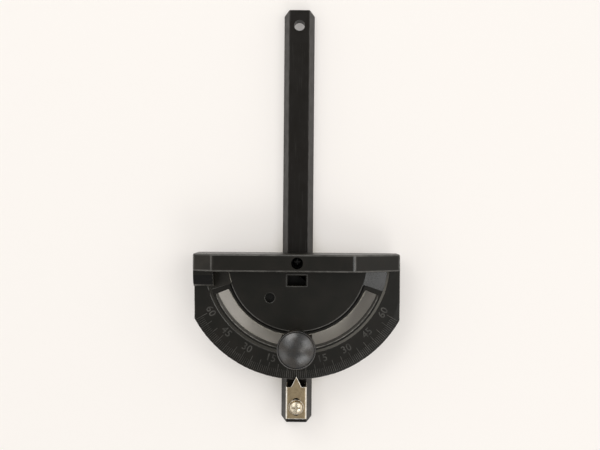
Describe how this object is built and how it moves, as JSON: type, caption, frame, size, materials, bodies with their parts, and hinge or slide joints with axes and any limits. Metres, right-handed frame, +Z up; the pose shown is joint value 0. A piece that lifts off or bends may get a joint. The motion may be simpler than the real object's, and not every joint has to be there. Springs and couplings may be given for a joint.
{
  "type": "miter gauge",
  "caption": "Swivelling half-round protractor head with a fence, clamped by a domed knob to a tapered guide bar, with a sheet pointer for the angle scale.",
  "frame": {"origin": "on the head's pivot axis, at the underside of the guide bar", "axes": "+Y along the bar towards its far end, +X to the right of someone at the pointer end, +Z up from the table"},
  "size_m": [0.1288, 0.2653, 0.0553],
  "materials": {
    "black_moulding": "satin black moulded plastic",
    "black_coated_steel": "satin black coating",
    "knob_plastic": "smooth satin black plastic",
    "zinc_plated_steel": "bright zinc plate",
    "dark_plated_steel": "dark plate",
    "nickel_plated_sheet": "warm nickel plate on folded sheet"
  },
  "bodies": {
    "bar": {"miter_bar": "black_coated_steel", "pivot_screw": "dark_plated_steel", "pointer_washer": "zinc_plated_steel", "pointer_screw": "zinc_plated_steel"},
    "head": {"miter_head": "black_moulding"},
    "washer": {"clamp_washer": "zinc_plated_steel"},
    "knob": {"lock_knob": "knob_plastic", "lock_stud": "zinc_plated_steel"},
    "pointer": {"pointer": "nickel_plated_sheet"}
  },
  "joints": [
    {"name": "head_swivel", "type": "hinge", "parent": "bar", "child": "head", "pos_m": [0, 0, 0.0165], "axis": [0, 0, 1], "range_deg": [-63, 63]},
    {"name": "knob_lift", "type": "slide", "parent": "bar", "child": "washer", "axis": [0, 0, 1], "range_m": [0, 0.001]},
    {"name": "knob_turn", "type": "hinge", "parent": "washer", "child": "knob", "pos_m": [0, -0.0508, 0.023], "axis": [0, 0, 1], "range_deg": [0, 360]},
    {"name": "pointer_adjust", "type": "slide", "parent": "bar", "child": "pointer", "axis": [0, 1, 0], "range_m": [-0.002, 0.002]}
  ],
  "couplings": [
    {"joint": "knob_turn", "follows": "knob_lift", "rad_per_m": 6283.2}
  ]
}
